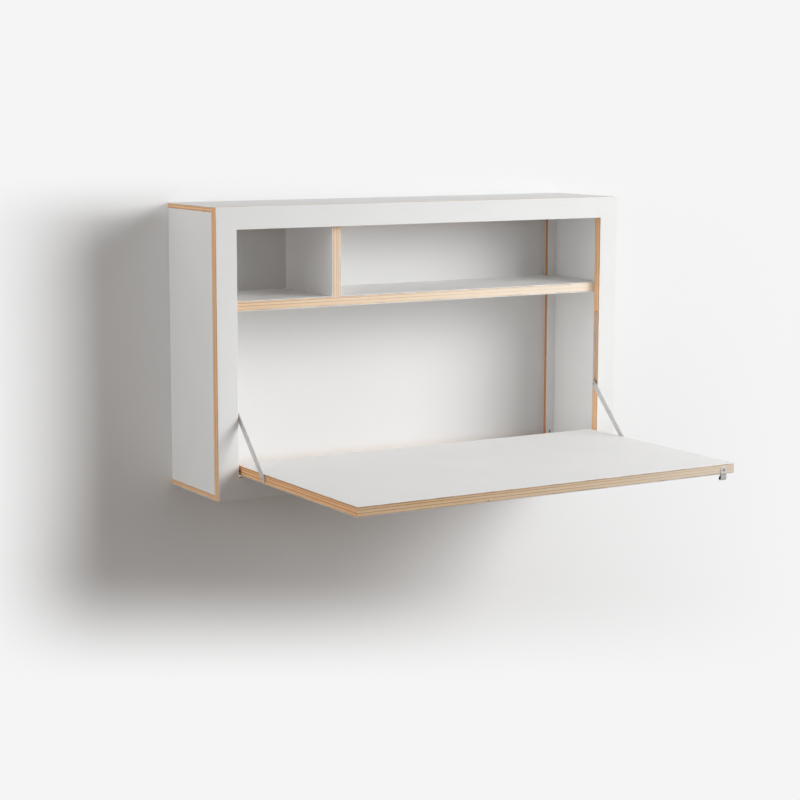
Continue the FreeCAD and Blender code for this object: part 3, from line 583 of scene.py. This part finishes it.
def turnedScrew(kind, length, seat, axis):
    # Rings of points from the head's middle to the tip, and which quads between them line the socket
    angles = np.arange(turning["turns"]) * 2 * np.pi / turning["turns"]
    ones = np.ones_like(angles)
    radius = np.linspace(turning["pole"], 1.0, turning["headRings"]) * kind["head"]
    wall = turning["socket"] * (1 + turning["lobe"] * np.cos(turning["lobes"] * angles))
    step = np.clip((wall - radius[:, None]) / turning["wall"] + 0.5, 0, 1)
    step = step ** 2 * (3 - 2 * step)
    dome = kind["rim"] + kind["rise"] * (1 - (radius / kind["head"]) ** 2)
    seatRadius = [kind["head"], kind["shank"]] if kind["rim"] else [kind["shank"]]
    seatHeight = [0.0, -kind["cone"]] if kind["rim"] else [-kind["cone"]]
    rows = int(turning["rowsPerPitch"] * (length - kind["cone"]) / turning["pitch"])
    down = np.linspace(-kind["cone"], -length, max(3, rows))[1:]
    phase = down[:, None] / turning["pitch"] - angles / (2 * np.pi)
    tooth = np.abs(2 * (phase - np.floor(phase)) - 1)
    threaded = np.clip((-down - kind["plain"]) / turning["pitch"], 0, 1)[:, None]
    tip = np.ones_like(down)
    if kind["point"]:
        tip = np.clip((down + length) / kind["point"], turning["tip"], 1)
    shank = (kind["shank"] - kind["crest"] * tooth * threaded) * tip[:, None]
    out = np.concatenate([radius[:, None] * ones, np.outer(seatRadius, ones), shank])
    head = dome[:, None] - turning["deep"] * step
    up = np.concatenate([head, np.outer(seatHeight, ones), down[:, None] * ones])
    along = np.array(axis, float)
    first = np.roll(np.abs(along), 1)
    spoke = np.cos(angles)[:, None] * first + np.sin(angles)[:, None] * np.cross(along, first)
    rings = np.array(seat) + out[..., None] * spoke + up[..., None] * along
    sunk = np.zeros((len(rings) - 1, len(angles)), int)
    sunk[:len(radius) - 1] = step[1:] > turning["sunkFrom"]
    return rings, sunk


def closedFaces(rows, turns, start):
    # Quads between neighbouring rings and a fan of triangles at each end
    here = start + np.arange(rows * turns).reshape(rows, turns)
    beside = np.roll(here, -1, axis=1)
    quads = np.stack([here[:-1], here[1:], beside[1:], beside[:-1]], -1).reshape(-1, 4)
    pole = start + rows * turns
    top = np.stack([np.full(turns, pole), here[0], beside[0]], -1)
    end = np.stack([np.full(turns, pole + 1), beside[-1], here[-1]], -1)
    return quads.tolist() + top.tolist() + end.tolist()


def screwPiece(name, node, screws, body):
    points, faces, dark = [], [], []
    for rings, sunk in screws:
        rows, turns = rings.shape[:2]
        faces += closedFaces(rows, turns, sum(len(part) for part in points))
        points.append(np.concatenate([rings.reshape(-1, 3), rings[:1].mean(1), rings[-1:].mean(1)]))
        dark += sunk.ravel().tolist() + [1] * turns + [0] * turns
    mesh = bpy.data.meshes.new(name)
    mesh.from_pydata(np.concatenate(points).tolist(), [], faces)
    mesh.materials.append(screwSteel)
    mesh.materials.append(paintedShadeSteel)
    mesh.polygons.foreach_set("material_index", dark)
    mesh.shade_smooth()
    mesh.set_sharp_from_angle(angle=math.radians(turning["sharp"]))
    made = bpy.data.objects.new(name, mesh)
    bpy.context.scene.collection.objects.link(made)
    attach(made, body)
    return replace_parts(made, node)


def buildScrews():
    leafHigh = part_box("leaf")[1]
    low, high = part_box("stay_screws")
    middle = (low + high) / 2
    seatX = high.x - stayScrew["rim"] - stayScrew["rise"]
    length = seatX - leafHigh.x + turning["bite"]
    pair = [
        turnedScrew(stayScrew, length, (side * seatX, middle.y, middle.z), (side, 0, 0))
        for side in (-1, 1)
    ]
    screwPiece("stay_screw_pair", "stay_screws", pair, "leaf")
    low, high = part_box("pull_screw")
    middle = (low + high) / 2
    single = turnedScrew(pullScrew, high.y - low.y, (middle.x, low.y, middle.z), (0, -1, 0))
    screwPiece("pull_screw_turned", "pull_screw", [single], "leaf")
    for word, side in (("left", 1), ("right", -1)):
        low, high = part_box(word + "_stay_stud")
        middle = (low + high) / 2
        headX = (high.x if side > 0 else low.x) - side * (stayStud["rim"] + stayStud["rise"])
        stud = turnedScrew(stayStud, turning["stayThick"], (headX, middle.y, middle.z), (side, 0, 0))
        screwPiece(word + "_stud_turned", word + "_stay_stud", [stud], word + "_stay")


buildScrews()
print("screws and studs turned")


# Stage: the wall that the desk hangs on, left out where the desk's back lies on it, and a floor below
stage = {
    "wallColor": (0.88, 0.88, 0.88, 1),
    "wallBounce": (0.86, 0.85, 0.84, 1),
    "alcoveColor": (0.79, 0.785, 0.78, 1),  # the wall seen through the open back, painted darker than the wall outside: painted shade inside the case
    "floorColor": (0.80, 0.77, 0.73, 1),
    "floorBounce": (0.19, 0.145, 0.11, 1),
    "alcoveClear": 0.35,    # room light that comes in from behind through the open back
    "rough": 0.9, "shine": 0.1,
    "paler": 1.008,         # the lighter patches of the paint
    "patchFrom": (0.3, 0.7),
    "patchScale": 1.5,      # patches and roller marks, patterns per m
    "rollerScale": 160.0,
    "rollerDepth": 0.12 * mm,
    "reach": 6.0,
    "wallBack": 0.4 * mm,
    "floorDrop": 1.20,      # floor below the desk's lowest edge
    "rim": 1.5 * mm,        # the wall runs this far behind the desk's edges
    "openSide": 0.465,      # opening of the back frame: half width, low and high edge
    "openLow": -0.272,
    "openHigh": 0.242,
}


ground = {
    "color": (0.913, 0.913, 0.913, 1),  # plain ground that the wall turns into away from the desk
    "left": (-0.978, -0.634), "right": (-0.096, 1.458),  # it comes in between these, m
    "low": (-0.824, -0.557), "high": (0.255, 0.367),
    "tilt": 0.152,                      # the lower side falls this much towards the right
}


def nearDesk(tree, coords):  # 1 on the wall round the desk, falling to 0 on all four sides
    place = grow(tree, "SeparateXYZ", {0: coords}).outputs
    leaning = calc(tree, "MULTIPLY_ADD", place[0], ground["tilt"], place[2])
    fromLeft = fade(tree, place[0], *ground["left"])
    fromRight = fade(tree, place[0], *ground["right"], 1.0, 0.0)
    fromLow = fade(tree, leaning, *ground["low"])
    fromHigh = fade(tree, place[2], *ground["high"], 1.0, 0.0)
    across = calc(tree, "MULTIPLY", fromLeft, fromRight)
    return calc(tree, "MULTIPLY", across, calc(tree, "MULTIPLY", fromLow, fromHigh))


def stageMaterial(name, color, bounce, clear=0.0, fading=False):
    made, tree, shader = newMaterial(name)
    shader.inputs["Roughness"].default_value = stage["rough"]
    shader.inputs["Specular IOR Level"].default_value = stage["shine"]
    coords = grow(tree, "TexCoord").outputs["Object"]
    roller = noise(tree, scaled(tree, coords, stage["rollerScale"]), 2.0)
    patches = noise(tree, scaled(tree, coords, stage["patchScale"]), 2.0)
    tone = fade(tree, patches, *stage["patchFrom"])
    paler = [channel * stage["paler"] for channel in color[:3]] + [1]
    tree.links.new(mixColor(tree, tone, color, paler), shader.inputs["Base Color"])
    bump = grow(tree, "Bump", {"Height": roller, "Distance": stage["rollerDepth"], "Strength": 1.0})
    tree.links.new(bump.outputs[0], shader.inputs["Normal"])
    path = grow(tree, "LightPath").outputs
    direct = calc(tree, "ADD", path["Is Camera Ray"], path["Is Glossy Ray"])
    looked = calc(tree, "MINIMUM", calc(tree, "ADD", direct, path["Is Transmission Ray"]), 1.0)
    dull = grow(tree, "BsdfDiffuse", {"Color": bounce}).outputs[0]  # what it throws back on the desk
    through = grow(tree, "BsdfTransparent", {"Color": (clear, clear, clear, 1)}).outputs[0]
    lit = grow(tree, "AddShader", {0: dull, 1: through}).outputs[0] if clear else dull
    paint = shader.outputs[0]
    if fading:
        made.cycles.emission_sampling = "NONE"  # the ground is only looked at and lights nothing
        plain = grow(tree, "Emission", {"Color": ground["color"], "Strength": 1.0}).outputs[0]
        paint = grow(tree, "MixShader", {0: nearDesk(tree, coords), 1: plain, 2: paint}).outputs[0]
    front = grow(tree, "MixShader", {0: looked, 1: lit, 2: paint}).outputs[0]
    behind = grow(tree, "NewGeometry").outputs["Backfacing"]
    unseen = grow(tree, "BsdfTransparent").outputs[0]
    shown = grow(tree, "MixShader", {0: behind, 1: front, 2: unseen})
    tree.links.new(shown.outputs[0], tree.nodes["Material Output"].inputs["Surface"])
    return made


def stageMesh(name, points, faces, materials, index):
    mesh = bpy.data.meshes.new(name)
    mesh.from_pydata(points.tolist(), [], faces.tolist())
    for material in materials:
        mesh.materials.append(material)
    mesh.polygons.foreach_set("material_index", index)
    made = bpy.data.objects.new(name, mesh)
    bpy.context.scene.collection.objects.link(made)
    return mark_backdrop(made)


def buildWall():
    # A grid of cells cut at the desk's outlines; a cell is kept where nothing of the desk lies on it
    rim = stage["rim"]
    caseLow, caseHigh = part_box("front_frame")
    shelfLow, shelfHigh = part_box("shelf")
    splitLow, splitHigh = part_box("divider")
    backStile, backLow, backHigh = stage["openSide"], stage["openLow"], stage["openHigh"]
    reach = stage["reach"]
    acrossCuts = np.array([
        -reach, caseLow.x + rim, -backStile - rim, splitLow.x + rim,
        splitHigh.x - rim, backStile + rim, caseHigh.x - rim, reach,
    ])
    upCuts = np.array([
        -reach, caseLow.z + rim, backLow - rim, shelfLow.z + rim,
        shelfHigh.z - rim, backHigh + rim, caseHigh.z - rim, reach,
    ])
    grid = np.stack(np.meshgrid(acrossCuts, upCuts, indexing="ij"), -1)
    points = np.zeros((grid.shape[0] * grid.shape[1], 3))
    points[:, [0, 2]] = grid.reshape(-1, 2)
    points[:, 1] = stage["wallBack"]
    cells = len(upCuts) - 1
    columns, rows = np.meshgrid(np.arange(cells), np.arange(cells), indexing="ij")
    outside = (columns == 0) | (columns == cells - 1) | (rows == 0) | (rows == cells - 1)
    lower = (columns >= 2) & (columns <= 4) & (rows == 2)
    upper = np.isin(columns, (2, 4)) & (rows == 4)
    keep = (outside | lower | upper).ravel()
    column = cells + 1  # points in one column of the grid
    first = (columns * column + rows).ravel()[keep]
    faces = np.stack([first, first + column, first + column + 1, first + 1], -1)
    paints = [
        stageMaterial("wall_paint", stage["wallColor"], stage["wallBounce"], fading=True),
        # painted shade: the cells behind the open back take the darker alcove paint
        stageMaterial("alcove_paint", stage["alcoveColor"], stage["wallBounce"], stage["alcoveClear"]),
    ]
    alcove = (lower | upper).ravel()[keep].astype(int)
    return stageMesh("stageWall", points, faces, paints, alcove.tolist())


def buildFloor():
    lowest = cadBox[0][2] - stage["floorDrop"]
    reach = stage["reach"]
    corners = ((-reach, -reach), (reach, -reach), (reach, 0), (-reach, 0))
    points = np.array([(x, y, lowest) for x, y in corners])
    faces = np.array([(0, 1, 2, 3)])
    paint = stageMaterial("floor_paint", stage["floorColor"], stage["floorBounce"])
    return stageMesh("stageFloor", points, faces, [paint], [0])


buildWall()
buildFloor()
print("stage set")


# Light: soft boxes in front at the right, two weaker ones at the left, and an even room light
lights = {
    "key": {"place": (1.33, -1.60, 0.50), "size": (1.6, 1.2), "power": 3.3, "falloff": "Constant"},
    "upper": {"place": (1.33, -1.60, 0.90), "size": (1.4, 1.0), "power": 3.9, "falloff": "Constant"},
    "near": {"place": (1.70, -1.60, 0.35), "size": (1.0, 1.0), "power": 8.8, "falloff": "Quadratic"},
    "left": {"place": (-3.00, -1.00, 0.50), "size": (1.5, 1.5), "power": 1.6, "falloff": "Constant"},
    "flank": {"place": (-3.00, -0.45, 0.50), "size": (1.0, 1.0), "power": 1.3, "falloff": "Constant"},
}
lampAim = Vector((0.0, -0.1, 0.0))
lampColor = (0.972, 0.988, 1.0)
roomLight = {"color": (1.0, 0.975, 0.955, 1), "strength": 0.28, "backdrop": 0.9}


def addLamp(name, lamp):
    data = bpy.data.lights.new(name, "AREA")
    data.shape = "RECTANGLE"
    data.size, data.size_y = lamp["size"]
    data.energy = lamp["power"]
    data.color = lampColor
    data.use_nodes = True
    tree = data.node_tree
    falloff = grow(tree, "LightFalloff", {"Strength": 1.0})  # constant lights both ends of the desk alike
    tree.links.new(falloff.outputs[lamp["falloff"]], tree.nodes["Emission"].inputs["Strength"])
    made = bpy.data.objects.new(name, data)
    made.location = lamp["place"]
    made.rotation_euler = (lampAim - Vector(lamp["place"])).to_track_quat("-Z", "Y").to_euler()
    bpy.context.scene.collection.objects.link(made)


for name, lamp in lights.items():
    addLamp(name, lamp)

world = bpy.data.worlds.new("room")
bpy.context.scene.world = world
world.use_nodes = True
sky = world.node_tree
glow = sky.nodes["Background"]
glow.inputs["Color"].default_value = roomLight["color"]
glow.inputs["Strength"].default_value = roomLight["strength"]
pale = grow(sky, "Background", {"Color": (1, 1, 1, 1), "Strength": roomLight["backdrop"]})
seen = grow(sky, "LightPath").outputs["Is Camera Ray"]
both = grow(sky, "MixShader", {0: seen, 1: glow.outputs[0], 2: pale.outputs[0]})
sky.links.new(both.outputs[0], sky.nodes["World Output"].inputs["Surface"])
print("lights:", len(lights))


# Camera: the photograph's place, turn and lens
camera = {
    "place": (-2.20137, -3.79669, 0.50160), "turn": (81.4782, -0.1245, -30.8410),
    "lens": 88.369, "sensor": 36.0,
}
cameraData = bpy.data.cameras.new("photoCamera")
cameraData.sensor_width = camera["sensor"]
cameraData.lens = camera["lens"]
photoCamera = bpy.data.objects.new("photoCamera", cameraData)
photoCamera.location = camera["place"]
photoCamera.rotation_euler = [math.radians(angle) for angle in camera["turn"]]
bpy.context.scene.collection.objects.link(photoCamera)
bpy.context.scene.camera = photoCamera
bpy.context.scene.view_settings.view_transform = "Standard"

print("desk finished")
